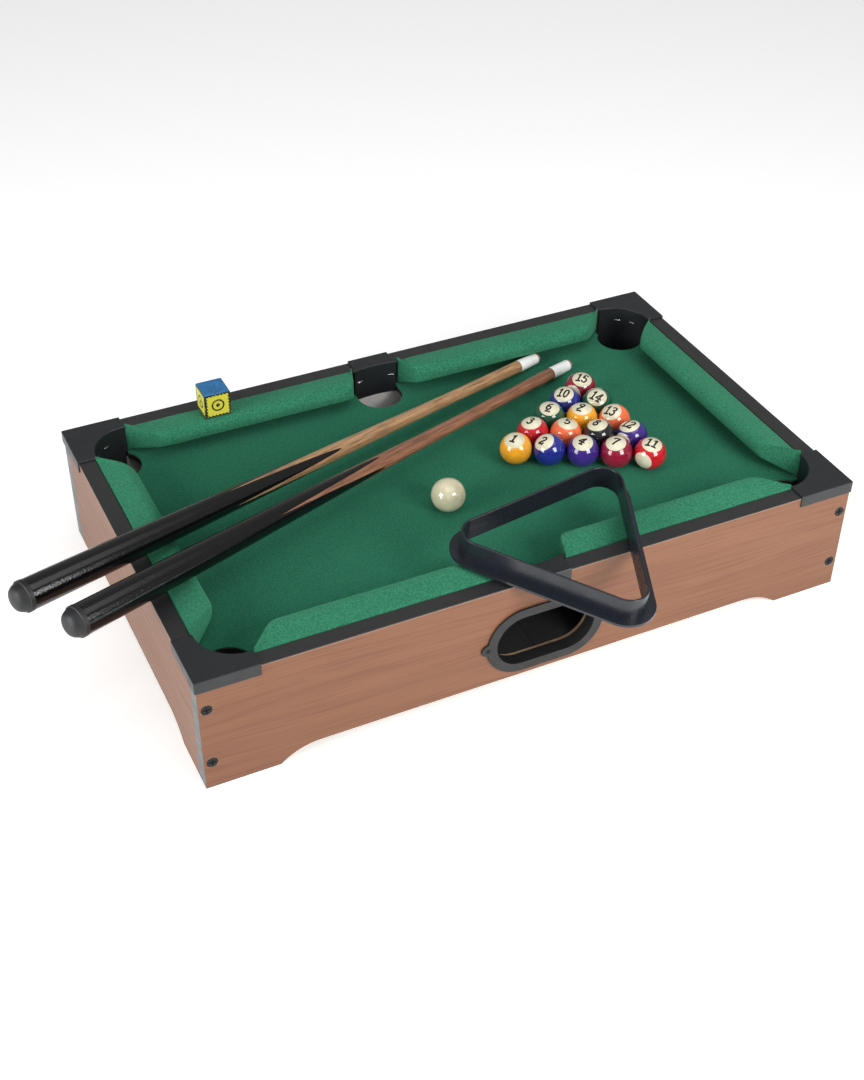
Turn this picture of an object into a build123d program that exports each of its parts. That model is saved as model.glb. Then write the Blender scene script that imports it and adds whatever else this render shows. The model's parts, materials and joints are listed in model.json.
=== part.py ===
from build123d import *

import os
from math import cos, radians, sin

# Tabletop mini pool table: a small cabinet on four arched panels, a cloth-covered bed with six
# pockets, a sloping ball return under it, and its loose balls, cues, rack and chalk.
# Millimetres. +X runs along the table to the right, +Y to the rear, +Z up.
# The origin is the centre of the cabinet's footprint, on the surface it stands on.

os.makedirs("parts", exist_ok=True)

# ---- Driving dimensions -------------------------------------------------------------------

# Cabinet
table_length = 514.0
table_width = 311.0
rail_top = 96.0
panel_thickness = 12.5
band_thickness = 0.8

# Arch in the lower edge of each panel
arch_height = 11.5
arch_run = 30.0
long_foot_inner = 203.0
end_foot_inner = 109.0

# Bed, cloth and pockets' cut-outs
bed_top = 74.5
cloth_thickness = 1.0
bed_thickness = 4.5
edge_gap = 0.05
corner_hole_x = 225.6
corner_hole_y = 125.2
corner_hole_radius = 19.1
side_hole_y = 131.0
side_hole_radius = 18.5

# Cushions: a triangular foam section with a round nose
nose_radius = 8.0
nose_height = 92.1
long_cushion_depth = 27.3
end_cushion_depth = 25.2
cushion_corner_radius = 12.0
side_mouth_rail_x = 20.4
side_mouth_nose_x = 28.0
long_cushion_rail_x = 211.9
long_cushion_nose_x = 188.5
end_cushion_rail_y = 109.9
end_cushion_nose_y = 86.0

# Moulded pockets
cap_thickness = 1.5
cap_overhang = 1.1
skirt_height = 8.0
liner_thickness = 1.3
corner_cap_arm_x = 212.0
corner_cap_arm_y = 110.0
throat_x = 213.5
throat_y = 112.0
throat_radius = 29.5
side_cap_outer_half = 17.5
side_cap_inner_half = 20.0
side_liner_half = 18.2
side_throat_edge_y = 138.9
side_throat_mid_y = 141.2
staple_length = 5.0
staple_radius = 0.35
staple_height = 86.0

# Ball return
bezel_height = 44.6
bezel_flange_length = 93.0
bezel_flange_height = 57.0
bezel_flange_thickness = 1.8
bezel_opening_length = 78.0
bezel_opening_height = 42.5
bezel_wall = 2.0
bezel_depth = 8.5
bezel_ear_x = 46.3
bezel_ear_radius = 4.8
cutout_gap = 0.2
ramp_thickness = 3.0
ramp_lowest = 21.0
ramp_side_slope = 0.045
ramp_front_slope = 0.040
batten_width = 12.0
batten_height = 10.0

# Screws
panel_screw_x = 251.0
panel_screw_heights = (23.0, 71.0)
panel_screw_head_radius = 4.25
panel_screw_shank_radius = 1.75
panel_screw_length = 35.0
bezel_screw_head_radius = 2.1
bezel_screw_shank_radius = 1.0
bezel_screw_length = 11.0

# Balls
object_ball_radius = 12.6
cue_ball_radius = 13.0
ball_gap = 0.2
ball_spacing = 25.9
head_ball_x = 57.0
head_ball_y = 0.4
racked_turn = 1.4
cue_ball_x = -17.1
cue_ball_y = -32.1

# Cues
cue_length = 509.5
cue_tip_length = 4.0
ferrule_end = 26.0
tenon_start = 9.0
tenon_radius = 3.0
tip_radius = 4.5
ferrule_tip_radius = 4.7
joint_radius = 5.2
mid_shaft_radius = 6.7
handle_radius = 10.2
butt_radius = 11.2
bumper_length = 10.8
bumper_step = 3.6
cue_tip_height = 79.3
cue_clearance = 0.3
cue_rest_radius = 9.95

# Ball rack, which leans on the front right cushion and on the front rail
rack_centre = (23.7, -140.0, 99.8)
rack_lift_angle = 5.7
rack_side_angle = 1.0
rack_corner_angle = 38.8
rack_inradius = 44.1
rack_wall = 1.8
rack_height = 18.2
rack_flange_width = 7.0
rack_flange_thickness = 2.0
rack_corner_radius = 12.9

# Chalk
chalk_x = -141.7
chalk_y = 131.3
chalk_side = 21.0
chalk_height = 21.0
wrapper_thickness = 0.3
wrapper_height = 20.2

# ---- Derived sizes ------------------------------------------------------------------------

half_length = table_length / 2
half_width = table_width / 2
rail_x = half_length - panel_thickness
rail_y = half_width - panel_thickness
board_top = rail_top - band_thickness
bed_bottom = bed_top - cloth_thickness - bed_thickness
cushion_top = nose_height + nose_radius
cap_x = half_length + cap_overhang
cap_y = half_width + cap_overhang
throat_outer_radius = throat_radius + liner_thickness
chalk_bottom = cushion_top + 0.1


def save(piece, label):
    """Name a finished piece and write it as its own STEP file."""
    piece.part.label = label
    export_step(piece.part, f"parts/{label}.step")


# ---- Cabinet panels and edge bands --------------------------------------------------------


def arched_outline(half_span, foot_inner):
    """Closed outline of a panel: a board whose lower edge is arched between two feet."""
    flat = foot_inner - arch_run
    with BuildLine() as outline:
        Line((-flat, arch_height), (flat, arch_height))
        TangentArc((flat, arch_height), (foot_inner, 0), tangent=(1, 0))
        Polyline(
            (foot_inner, 0),
            (half_span, 0),
            (half_span, board_top),
            (-half_span, board_top),
            (-half_span, 0),
            (-foot_inner, 0),
        )
        TangentArc((-flat, arch_height), (-foot_inner, 0), tangent=(-1, 0))
    return outline.line


def screw_planes(side):
    """Planes on the outer face of a long panel, one at each panel screw, facing outward."""
    return [
        Plane(origin=(x, side * half_width, z), z_dir=(0, side, 0))
        for x in (-panel_screw_x, panel_screw_x)
        for z in panel_screw_heights
    ]


bezel_screw_planes = [
    Plane(origin=(x, -half_width, bezel_height), z_dir=(0, -1, 0)) for x in (-bezel_ear_x, bezel_ear_x)
]

with BuildPart() as front_panel:
    with BuildSketch(Plane.XZ.offset(rail_y)):
        add(arched_outline(half_length, long_foot_inner))
        make_face()
        with Locations((0, bezel_height)):
            SlotOverall(
                bezel_opening_length + 2 * (bezel_wall + cutout_gap),
                bezel_opening_height + 2 * (bezel_wall + cutout_gap),
                mode=Mode.SUBTRACT,
            )
    extrude(amount=panel_thickness)
    with Locations(*screw_planes(-1)):
        CounterSinkHole(2.0, panel_screw_head_radius + 0.05, counter_sink_angle=90)
    with Locations(*bezel_screw_planes):
        Hole(bezel_screw_shank_radius + 0.05, depth=bezel_screw_length)
save(front_panel, "front_panel")

with BuildPart() as rear_panel:
    with BuildSketch(Plane.XZ.offset(-half_width)):
        add(arched_outline(half_length, long_foot_inner))
        make_face()
    extrude(amount=panel_thickness)
    with Locations(*screw_planes(1)):
        CounterSinkHole(2.0, panel_screw_head_radius + 0.05, counter_sink_angle=90)
save(rear_panel, "rear_panel")

with BuildPart() as left_end_panel:
    with BuildSketch(Plane.YZ.offset(-half_length)):
        add(arched_outline(rail_y, end_foot_inner))
        make_face()
    extrude(amount=panel_thickness)
    pilot_planes = [
        Plane(origin=(-panel_screw_x, side * rail_y, z), z_dir=(0, side, 0))
        for side in (-1, 1)
        for z in panel_screw_heights
    ]
    with Locations(*pilot_planes):
        Hole(panel_screw_shank_radius + 0.05, depth=panel_screw_length - panel_thickness + 2)
save(left_end_panel, "left_end_panel")

with BuildPart() as right_end_panel:
    mirror(left_end_panel.part, about=Plane.YZ)
save(right_end_panel, "right_end_panel")

band_sizes = {
    "front_rail_band": (0, -(half_width + rail_y) / 2, table_length, panel_thickness),
    "rear_rail_band": (0, (half_width + rail_y) / 2, table_length, panel_thickness),
    "left_rail_band": (-(half_length + rail_x) / 2, 0, panel_thickness, 2 * rail_y),
    "right_rail_band": ((half_length + rail_x) / 2, 0, panel_thickness, 2 * rail_y),
}
for label, (x, y, length, width) in band_sizes.items():
    with BuildPart() as rail_band:
        with BuildSketch(Plane.XY.offset(board_top)):
            with Locations((x, y)):
                Rectangle(length, width)
        extrude(amount=band_thickness)
    save(rail_band, label)

# ---- Screws -------------------------------------------------------------------------------


def countersunk_screw(head_radius, shank_radius, length, top=0.0):
    """Cross-head countersunk screw along -Z, its flat head at height top."""
    cone_depth = head_radius - shank_radius
    slot_length = 1.15 * head_radius
    with BuildPart() as screw:
        with BuildSketch(Plane.XZ):
            with BuildLine():
                Polyline(
                    (0, top),
                    (head_radius, top),
                    (shank_radius, top - cone_depth),
                    (shank_radius, top - length + shank_radius),
                    (0, top - length),
                    close=True,
                )
            make_face()
        revolve(axis=Axis.Z)
        with BuildSketch(Plane.XY.offset(top)):
            Rectangle(slot_length, 0.22 * head_radius)
            Rectangle(0.22 * head_radius, slot_length)
        extrude(amount=-0.4 * cone_depth, mode=Mode.SUBTRACT)
    return screw.part


panel_screw = countersunk_screw(panel_screw_head_radius, panel_screw_shank_radius, panel_screw_length)
for side, label in ((-1, "front_panel_screws"), (1, "rear_panel_screws")):
    with BuildPart() as panel_screws:
        with Locations(*screw_planes(side)):
            add(panel_screw)
    save(panel_screws, label)

# ---- Bed board and cloth ------------------------------------------------------------------

corner_holes = [(x, y) for x in (-corner_hole_x, corner_hole_x) for y in (-corner_hole_y, corner_hole_y)]
side_holes = [(0, -side_hole_y), (0, side_hole_y)]
# The corner cut-outs are round on the playing side and square towards the cabinet's corners,
# which leaves room for the pocket liners.
notch = corner_hole_radius * cos(radians(45))
notch_x = rail_x - corner_hole_x + 1
notch_y = rail_y - corner_hole_y + 1

bed_layers = {
    "bed_board": (bed_bottom, bed_thickness),
    "bed_cloth": (bed_top - cloth_thickness, cloth_thickness),
}
for label, (bottom, thickness) in bed_layers.items():
    with BuildPart() as bed_layer:
        with BuildSketch(Plane.XY.offset(bottom)):
            Rectangle(2 * (rail_x - edge_gap), 2 * (rail_y - edge_gap))
            with Locations(*corner_holes):
                Circle(corner_hole_radius, mode=Mode.SUBTRACT)
            with Locations(*side_holes):
                Circle(side_hole_radius, mode=Mode.SUBTRACT)
            for side in (-1, 1):
                with Locations((0, side * (side_hole_y + rail_y + 1) / 2)):
                    Rectangle(2 * side_hole_radius, rail_y + 1 - side_hole_y, mode=Mode.SUBTRACT)
                for end in (-1, 1):
                    with Locations((end * (corner_hole_x + notch_x / 2), side * (rail_y + 1 - (notch_y + notch) / 2))):
                        Rectangle(notch_x, notch_y + notch, mode=Mode.SUBTRACT)
                    with Locations((end * (rail_x + 1 - (notch_x + notch) / 2), side * (corner_hole_y + notch_y / 2))):
                        Rectangle(notch_x + notch, notch_y, mode=Mode.SUBTRACT)
        extrude(amount=thickness)
    save(bed_layer, label)

# ---- Battens that carry the bed -----------------------------------------------------------

long_batten = (164.0, batten_width)
long_batten_x = 118.0
end_batten = (batten_width, 200.0)
with BuildPart() as bed_battens:
    with BuildSketch(Plane.XY.offset(bed_bottom - batten_height)):
        long_batten_y = rail_y - edge_gap - batten_width / 2
        with Locations(*[(x, y) for x in (-long_batten_x, long_batten_x) for y in (-long_batten_y, long_batten_y)]):
            Rectangle(*long_batten)
        end_batten_x = rail_x - edge_gap - batten_width / 2
        with Locations((-end_batten_x, 0), (end_batten_x, 0)):
            Rectangle(*end_batten)
    extrude(amount=batten_height)
save(bed_battens, "bed_battens")

# ---- Cushions -----------------------------------------------------------------------------


def cushion_profile(depth, profile_plane):
    """Foam section on a vertical plane: local x counts inward from the rail, local y is height."""
    with BuildSketch(profile_plane) as profile:
        with BuildLine():
            CenterArc((depth - nose_radius, nose_height), nose_radius, 0, 360)
            Line((edge_gap, bed_top + edge_gap), (edge_gap, rail_top))
        make_hull()
    return profile.sketch


with BuildPart() as front_left_cushion:
    long_plane = Plane(origin=(-long_cushion_rail_x - 1, -rail_y, 0), x_dir=(0, 1, 0), z_dir=(1, 0, 0))
    extrude(cushion_profile(long_cushion_depth, long_plane), amount=long_cushion_rail_x + 1)
    with BuildSketch(Plane.XY.offset(bed_top)):
        nose_line = -rail_y + long_cushion_depth + 0.1
        with BuildLine():
            Polyline(
                (-long_cushion_rail_x, -rail_y),
                (-long_cushion_nose_x, nose_line),
                (-side_mouth_nose_x, nose_line),
                (-side_mouth_rail_x, -rail_y),
                close=True,
            )
        make_face()
        fillet(vertices().group_by(Axis.Y)[-1], cushion_corner_radius)
    extrude(amount=nose_height, mode=Mode.INTERSECT)
save(front_left_cushion, "front_left_cushion")

with BuildPart() as front_right_cushion:
    mirror(front_left_cushion.part, about=Plane.YZ)
save(front_right_cushion, "front_right_cushion")

with BuildPart() as rear_left_cushion:
    mirror(front_left_cushion.part, about=Plane.XZ)
save(rear_left_cushion, "rear_left_cushion")

with BuildPart() as rear_right_cushion:
    mirror(front_right_cushion.part, about=Plane.XZ)
save(rear_right_cushion, "rear_right_cushion")

with BuildPart() as left_end_cushion:
    end_plane = Plane(origin=(-rail_x, end_cushion_rail_y + 1, 0), x_dir=(1, 0, 0), z_dir=(0, -1, 0))
    extrude(cushion_profile(end_cushion_depth, end_plane), amount=2 * (end_cushion_rail_y + 1))
    with BuildSketch(Plane.XY.offset(bed_top)):
        nose_line = -rail_x + end_cushion_depth + 0.1
        with BuildLine():
            Polyline(
                (-rail_x, -end_cushion_rail_y),
                (nose_line, -end_cushion_nose_y),
                (nose_line, end_cushion_nose_y),
                (-rail_x, end_cushion_rail_y),
                close=True,
            )
        make_face()
        fillet(vertices().group_by(Axis.X)[-1], cushion_corner_radius)
    extrude(amount=nose_height, mode=Mode.INTERSECT)
save(left_end_cushion, "left_end_cushion")

with BuildPart() as right_end_cushion:
    mirror(left_end_cushion.part, about=Plane.YZ)
save(right_end_cushion, "right_end_cushion")

# ---- Moulded pockets ----------------------------------------------------------------------

# The corner liners reach down almost to the ramps; the side ones end with the bed
corner_liner_bottom = 46.0
skirt_top = rail_top + cap_thickness
skirt_bottom = skirt_top - skirt_height - cap_thickness

with BuildPart() as rear_right_pocket:
    # Cap plate: an L over the two rails with a round throat
    with BuildSketch(Plane.XY.offset(rail_top)):
        with BuildLine():
            CenterArc((throat_x, throat_y), throat_radius, 0, 90)
            Polyline(
                (throat_x, throat_y + throat_radius),
                (corner_cap_arm_x, throat_y + throat_radius),
                (corner_cap_arm_x, cap_y),
                (cap_x, cap_y),
                (cap_x, corner_cap_arm_y),
                (throat_x + throat_radius, corner_cap_arm_y),
                (throat_x + throat_radius, throat_y),
            )
        make_face()
    extrude(amount=cap_thickness)
    # Skirt down the outside of both panels
    with BuildSketch(Plane.XY.offset(skirt_bottom)):
        with BuildLine():
            Polyline(
                (corner_cap_arm_x, half_width),
                (half_length, half_width),
                (half_length, corner_cap_arm_y),
                (cap_x, corner_cap_arm_y),
                (cap_x, cap_y),
                (corner_cap_arm_x, cap_y),
                close=True,
            )
        make_face()
    extrude(amount=skirt_height)
    # Curved liner down through the bed
    with BuildSketch(Plane.XY.offset(corner_liner_bottom)):
        with BuildLine():
            CenterArc((throat_x, throat_y), throat_radius, 0, 90)
            Line((throat_x, throat_y + throat_radius), (throat_x, throat_y + throat_outer_radius))
            CenterArc((throat_x, throat_y), throat_outer_radius, 0, 90)
            Line((throat_x + throat_radius, throat_y), (throat_x + throat_outer_radius, throat_y))
        make_face()
    extrude(amount=rail_top - corner_liner_bottom)
    outer_corner = edges().filter_by(Axis.Z).sort_by_distance((cap_x, cap_y, rail_top))[0]
    fillet(outer_corner, 1.0)
    cap_rim = faces().filter_by(Axis.Z).sort_by(Axis.Z)[-1].outer_wire().edges()
    chamfer(cap_rim, 0.4)
save(rear_right_pocket, "rear_right_pocket")

with BuildPart() as rear_left_pocket:
    mirror(rear_right_pocket.part, about=Plane.YZ)
save(rear_left_pocket, "rear_left_pocket")

with BuildPart() as front_right_pocket:
    mirror(rear_right_pocket.part, about=Plane.XZ)
save(front_right_pocket, "front_right_pocket")

with BuildPart() as front_left_pocket:
    mirror(rear_left_pocket.part, about=Plane.XZ)
save(front_left_pocket, "front_left_pocket")

side_arc_drop = side_throat_mid_y - side_throat_edge_y
side_throat_radius = (side_cap_inner_half**2 + side_arc_drop**2) / (2 * side_arc_drop)
side_throat_centre_y = side_throat_mid_y - side_throat_radius

with BuildPart() as rear_side_pocket:
    with BuildSketch(Plane.XY.offset(rail_top)):
        with BuildLine():
            ThreePointArc(
                (side_cap_inner_half, side_throat_edge_y),
                (0, side_throat_mid_y),
                (-side_cap_inner_half, side_throat_edge_y),
            )
            Polyline(
                (-side_cap_inner_half, side_throat_edge_y),
                (-side_cap_inner_half, side_throat_mid_y + 1),
                (-side_cap_outer_half, rail_y + 2),
                (-side_cap_outer_half, cap_y),
                (side_cap_outer_half, cap_y),
                (side_cap_outer_half, rail_y + 2),
                (side_cap_inner_half, side_throat_mid_y + 1),
                (side_cap_inner_half, side_throat_edge_y),
            )
        make_face()
    extrude(amount=cap_thickness)
    with BuildSketch(Plane.XY.offset(skirt_bottom)):
        with Locations((0, (half_width + cap_y) / 2)):
            Rectangle(2 * side_cap_outer_half, cap_overhang)
    extrude(amount=skirt_height)
    with BuildSketch(Plane.XY.offset(bed_bottom)):
        with Locations((0, side_throat_centre_y)):
            Circle(side_throat_radius + liner_thickness)
            Circle(side_throat_radius, mode=Mode.SUBTRACT)
        with Locations((0, side_throat_mid_y)):
            Rectangle(2 * side_liner_half, 10, mode=Mode.INTERSECT)
    extrude(amount=rail_top - bed_bottom)
    cap_rim = faces().filter_by(Axis.Z).sort_by(Axis.Z)[-1].outer_wire().edges()
    chamfer(cap_rim, 0.4)
save(rear_side_pocket, "rear_side_pocket")

with BuildPart() as front_side_pocket:
    mirror(rear_side_pocket.part, about=Plane.XZ)
save(front_side_pocket, "front_side_pocket")

# ---- Staples in the pocket liners ---------------------------------------------------------

corner_staple_reach = throat_radius - staple_radius - 0.15
side_staple_reach = side_throat_radius - staple_radius - 0.15
staple_planes = []
for side in (-1, 1):
    for end in (-1, 1):
        for turn in (32.0, 58.0):
            across = (cos(radians(turn)) * end, sin(radians(turn)) * side, 0)
            spot = (
                end * throat_x + corner_staple_reach * across[0],
                side * throat_y + corner_staple_reach * across[1],
                staple_height,
            )
            staple_planes.append(Plane(origin=spot, x_dir=across, z_dir=(-across[1], across[0], 0)))
    for turn in (-9.0, 9.0):
        across = (sin(radians(turn)), cos(radians(turn)) * side, 0)
        spot = (
            side_staple_reach * across[0],
            side * side_throat_centre_y + side_staple_reach * across[1],
            staple_height,
        )
        staple_planes.append(Plane(origin=spot, x_dir=across, z_dir=(-across[1], across[0], 0)))

with BuildPart() as pocket_staples:
    with Locations(*staple_planes):
        Cylinder(staple_radius, staple_length)
save(pocket_staples, "pocket_staples")

# ---- Ball return: bezel, its screws and the two ramp boards -------------------------------

bezel_plane = Plane.XZ.offset(half_width)
with BuildPart() as ball_return_bezel:
    with BuildSketch(bezel_plane):
        with Locations((0, bezel_height)):
            SlotOverall(bezel_flange_length, bezel_flange_height)
        with Locations((-bezel_ear_x, bezel_height), (bezel_ear_x, bezel_height)):
            Circle(bezel_ear_radius)
        with Locations((0, bezel_height)):
            SlotOverall(bezel_opening_length, bezel_opening_height, mode=Mode.SUBTRACT)
    extrude(amount=bezel_flange_thickness)
    with BuildSketch(bezel_plane):
        with Locations((0, bezel_height)):
            SlotOverall(bezel_opening_length + 2 * bezel_wall, bezel_opening_height + 2 * bezel_wall)
            SlotOverall(bezel_opening_length, bezel_opening_height, mode=Mode.SUBTRACT)
    extrude(amount=-bezel_depth)
    with Locations(*[plane.offset(bezel_flange_thickness) for plane in bezel_screw_planes]):
        CounterSinkHole(
            bezel_screw_shank_radius + 0.05,
            bezel_screw_head_radius + 0.05,
            depth=bezel_flange_thickness,
            counter_sink_angle=90,
        )
save(ball_return_bezel, "ball_return_bezel")

bezel_screw = countersunk_screw(bezel_screw_head_radius, bezel_screw_shank_radius, bezel_screw_length, bezel_flange_thickness)
with BuildPart() as bezel_screws:
    with Locations(*bezel_screw_planes):
        add(bezel_screw)
save(bezel_screws, "bezel_screws")

# Each ramp board falls to the front and to the table's middle line, so a ball that drops into
# any pocket rolls to the opening.
for side, label in ((-1, "left_ball_ramp"), (1, "right_ball_ramp")):
    ramp_plane = Plane(
        origin=(0, -rail_y, ramp_lowest),
        x_dir=(0, 1, ramp_front_slope),
        z_dir=(-side * ramp_side_slope, -ramp_front_slope, 1),
    )
    ramp_inner = side * edge_gap
    ramp_outer = side * (rail_x - edge_gap)
    ramp_front = -rail_y + edge_gap
    ramp_rear = rail_y - edge_gap
    corners = []
    for x, y in ((ramp_inner, ramp_front), (ramp_outer, ramp_front), (ramp_outer, ramp_rear), (ramp_inner, ramp_rear)):
        z = ramp_lowest + ramp_side_slope * abs(x) + ramp_front_slope * (y + rail_y)
        corners.append(ramp_plane.to_local_coords(Vector(x, y, z)))
    with BuildPart() as ball_ramp:
        with BuildSketch(ramp_plane):
            with BuildLine():
                Polyline(*[(corner.X, corner.Y) for corner in corners], close=True)
            make_face()
        extrude(amount=ramp_thickness, dir=(0, 0, -1))
    save(ball_ramp, label)

# ---- Balls --------------------------------------------------------------------------------

# Rows of the racked triangle from the head ball to the foot, each listed from rear to front
racked_rows = [
    [1],
    [3, 2],
    [6, 5, 4],
    [10, 9, 8, 7],
    [15, 14, 13, 12, 11],
]
row_step = ball_spacing * cos(radians(30))
for row, numbers in enumerate(racked_rows):
    for place, number in enumerate(numbers):
        back = row * row_step
        across = (row / 2 - place) * ball_spacing
        x = head_ball_x + back * cos(radians(racked_turn)) - across * sin(radians(racked_turn))
        y = head_ball_y + back * sin(radians(racked_turn)) + across * cos(radians(racked_turn))
        with BuildPart() as object_ball:
            with Locations((x, y, bed_top + ball_gap + object_ball_radius)):
                Sphere(object_ball_radius)
        save(object_ball, f"ball_{number:02d}")

with BuildPart() as cue_ball:
    with Locations((cue_ball_x, cue_ball_y, bed_top + ball_gap + cue_ball_radius)):
        Sphere(cue_ball_radius)
save(cue_ball, "cue_ball")

# ---- Cues ---------------------------------------------------------------------------------

# Each cue leans from its tip, close above the cloth, over the nose of the left end cushion.
# cue name: tip x, tip y, heading of the butt in plan from the -X direction
cue_places = {
    "cue_a": (142.7, 121.1, 19.9),
    "cue_b": (162.1, 100.8, 21.8),
}
rest_x = -rail_x + end_cushion_depth - nose_radius


def cue_axis(tip_x, tip_y, heading):
    """Tip point and unit direction of a cue, from tip to butt."""
    run = (tip_x - rest_x) / cos(radians(heading))
    rise = cushion_top + cue_clearance + cue_rest_radius - cue_tip_height
    direction = Vector(-run * cos(radians(heading)), -run * sin(radians(heading)), rise).normalized()
    return Vector(tip_x, tip_y, cue_tip_height), direction


for cue, (tip_x, tip_y, heading) in cue_places.items():
    tip_point, direction = cue_axis(tip_x, tip_y, heading)
    profile_plane = Plane(origin=tip_point, x_dir=direction, z_dir=direction.cross(Vector(0, 0, 1)))
    axis = Axis(tip_point, direction)

    with BuildPart() as stick:
        with BuildSketch(profile_plane):
            with BuildLine():
                Polyline((tenon_start, 0), (tenon_start, tenon_radius), (ferrule_end, tenon_radius))
                Line((ferrule_end, tenon_radius), (ferrule_end, joint_radius))
                Spline(
                    (ferrule_end, joint_radius),
                    (0.49 * cue_length, mid_shaft_radius),
                    (0.835 * cue_length, handle_radius),
                    (cue_length, butt_radius),
                )
                Polyline((cue_length, butt_radius), (cue_length, 0), (tenon_start, 0))
            make_face()
        revolve(axis=axis)
    save(stick, f"{cue}_stick")

    with BuildPart() as ferrule:
        with BuildSketch(profile_plane):
            with BuildLine():
                Polyline(
                    (cue_tip_length, 0),
                    (cue_tip_length, ferrule_tip_radius),
                    (ferrule_end, joint_radius),
                    (ferrule_end, tenon_radius),
                    (tenon_start, tenon_radius),
                    (tenon_start, 0),
                    close=True,
                )
            make_face()
        revolve(axis=axis)
    save(ferrule, f"{cue}_ferrule")

    with BuildPart() as leather_tip:
        with BuildSketch(profile_plane):
            with BuildLine():
                Line((0, 0), (cue_tip_length, 0))
                Line((cue_tip_length, 0), (cue_tip_length, ferrule_tip_radius))
                Line((cue_tip_length, ferrule_tip_radius), (1.6, tip_radius))
                TangentArc((0, 0), (1.6, tip_radius), tangent=(0, 1))
            make_face()
        revolve(axis=axis)
    save(leather_tip, f"{cue}_tip")

    with BuildPart() as bumper:
        with BuildSketch(profile_plane):
            with BuildLine():
                Polyline(
                    (cue_length, 0),
                    (cue_length, butt_radius + 0.2),
                    (cue_length + bumper_step, butt_radius + 0.2),
                    (cue_length + bumper_step, butt_radius - 0.6),
                )
                TangentArc(
                    (cue_length + bumper_step, butt_radius - 0.6),
                    (cue_length + bumper_length, 3.0),
                    tangent=(1, 0),
                )
                Polyline((cue_length + bumper_length, 3.0), (cue_length + bumper_length, 0), (cue_length, 0))
            make_face()
        revolve(axis=axis)
    save(bumper, f"{cue}_bumper")

# ---- Ball rack ----------------------------------------------------------------------------

rack_turns = (rack_lift_angle, rack_side_angle, rack_corner_angle)
rack_plane = Plane(origin=rack_centre, x_dir=(1, 0, 0), z_dir=(0, 0, 1)).rotated(rack_turns)
rack_layers = (
    (rack_wall + rack_flange_width, rack_flange_thickness),
    (rack_wall, rack_height),
)
with BuildPart() as ball_rack:
    for reach, height in rack_layers:
        with BuildSketch(rack_plane):
            RegularPolygon(2 * (rack_inradius + reach), 3)
            fillet(vertices(), rack_corner_radius + reach)
        extrude(amount=height)
    with BuildSketch(rack_plane):
        RegularPolygon(2 * rack_inradius, 3)
        fillet(vertices(), rack_corner_radius)
    extrude(amount=rack_height, mode=Mode.SUBTRACT)
    rack_axis = Axis(rack_plane.origin, rack_plane.z_dir)
    rack_rim = faces().filter_by(rack_axis).sort_by(rack_axis)[-1].edges()
    fillet(rack_rim, 0.6)
save(ball_rack, "ball_rack")

# ---- Chalk --------------------------------------------------------------------------------

chalk_plane = Plane(origin=(chalk_x, chalk_y, chalk_bottom))
with BuildPart() as chalk_wrapper:
    with BuildSketch(chalk_plane):
        Rectangle(chalk_side, chalk_side)
    extrude(amount=wrapper_height)
    with BuildSketch(chalk_plane.offset(wrapper_thickness)):
        Rectangle(chalk_side - 2 * wrapper_thickness, chalk_side - 2 * wrapper_thickness)
    extrude(amount=wrapper_height, mode=Mode.SUBTRACT)
save(chalk_wrapper, "chalk_wrapper")

dish_radius = 40.0
dish_depth = 0.8
with BuildPart() as chalk_cube:
    with BuildSketch(chalk_plane.offset(wrapper_thickness)):
        Rectangle(chalk_side - 2 * wrapper_thickness, chalk_side - 2 * wrapper_thickness)
    extrude(amount=chalk_height - wrapper_thickness)
    chamfer(faces().sort_by(Axis.Z)[-1].edges(), 0.5)
    with Locations((chalk_x, chalk_y, chalk_bottom + chalk_height + dish_radius - dish_depth)):
        Sphere(dish_radius, mode=Mode.SUBTRACT)
save(chalk_cube, "chalk_cube")
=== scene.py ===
import json
from math import acos, atan2, cos, pi, radians, sin, sqrt

import bmesh
import bpy
import numpy as np
from mathutils import Matrix, Vector, noise


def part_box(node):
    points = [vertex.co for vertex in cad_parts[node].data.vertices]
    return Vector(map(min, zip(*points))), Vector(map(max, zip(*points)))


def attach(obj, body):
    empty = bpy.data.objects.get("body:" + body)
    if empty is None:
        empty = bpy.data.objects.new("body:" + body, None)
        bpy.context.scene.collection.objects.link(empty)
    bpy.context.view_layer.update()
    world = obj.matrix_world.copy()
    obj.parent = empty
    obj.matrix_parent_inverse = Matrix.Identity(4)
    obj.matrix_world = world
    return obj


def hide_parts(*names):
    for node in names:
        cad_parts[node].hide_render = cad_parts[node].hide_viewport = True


# Looks for the tabletop mini pool table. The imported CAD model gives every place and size; this
# script adds rounded edges, covered cushions, printed balls, spliced cues and all materials.

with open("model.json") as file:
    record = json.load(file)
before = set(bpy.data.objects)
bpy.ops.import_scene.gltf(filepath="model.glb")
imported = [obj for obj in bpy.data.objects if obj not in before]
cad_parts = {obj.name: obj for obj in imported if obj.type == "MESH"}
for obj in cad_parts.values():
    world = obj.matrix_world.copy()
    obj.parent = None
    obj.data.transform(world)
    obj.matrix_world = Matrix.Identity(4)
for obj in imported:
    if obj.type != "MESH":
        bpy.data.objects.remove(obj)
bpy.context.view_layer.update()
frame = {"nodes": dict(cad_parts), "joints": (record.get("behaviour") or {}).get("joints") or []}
MM = 0.001
record_joints = {joint["name"]: joint for joint in frame["joints"]}


# ---- Material kit -------------------------------------------------------------------------


def srgb(red, green, blue):
    """An 8-bit display colour as linear red, green, blue and alpha."""
    shares = (red / 255, green / 255, blue / 255)
    linear = [c / 12.92 if c <= 0.04045 else ((c + 0.055) / 1.055) ** 2.4 for c in shares]
    return (*linear, 1.0)


def toned(colour, share):
    """The linear colour made darker or lighter by share."""
    return [min(1.0, share * c) for c in colour[:3]] + [1.0]


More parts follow.
